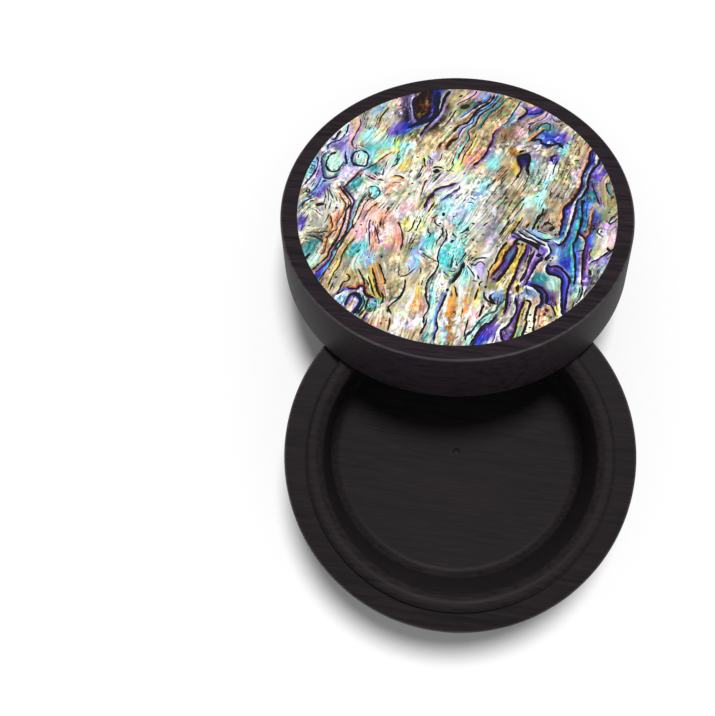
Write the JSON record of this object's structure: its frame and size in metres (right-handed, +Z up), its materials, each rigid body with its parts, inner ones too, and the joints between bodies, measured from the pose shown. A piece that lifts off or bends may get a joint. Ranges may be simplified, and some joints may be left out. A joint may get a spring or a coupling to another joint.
{
  "type": "seal paste box",
  "caption": "Round turned ebony box for seal paste: thick bowl with a raised locating ring, and a lid with an inlaid abalone shell disc, leaned against it.",
  "frame": {"origin": "on the base's turning axis, at the flat underside that stands on the table", "axes": "+Z up along the base's turning axis; +Y towards the back, where the lid leans; +X to the right seen from the front"},
  "size_m": [0.0808, 0.1298, 0.0545],
  "materials": {
    "ebony": "fine-sanded and waxed, satin",
    "black_adhesive": "cast, hidden but for the seams",
    "abalone_shell": "polished and lacquered, iridescent"
  },
  "bodies": {
    "box_base": {"base_bowl": "ebony"},
    "box_lid": {"lid": "ebony", "inlay_bed": "black_adhesive", "shell_slip_left_top": "abalone_shell", "shell_slip_top": "abalone_shell", "shell_slip_left": "abalone_shell", "shell_slip_left_low": "abalone_shell", "shell_slip_right_top": "abalone_shell", "shell_slip_centre": "abalone_shell", "shell_slip_right": "abalone_shell", "shell_slip_bottom": "abalone_shell", "shell_slip_right_low": "abalone_shell"}
  },
  "joints": [
    {"name": "lid_lift", "type": "slide", "parent": "box_base", "child": "box_lid", "axis": [0, 0, 1], "range_m": [0, 0.06]}
  ]
}
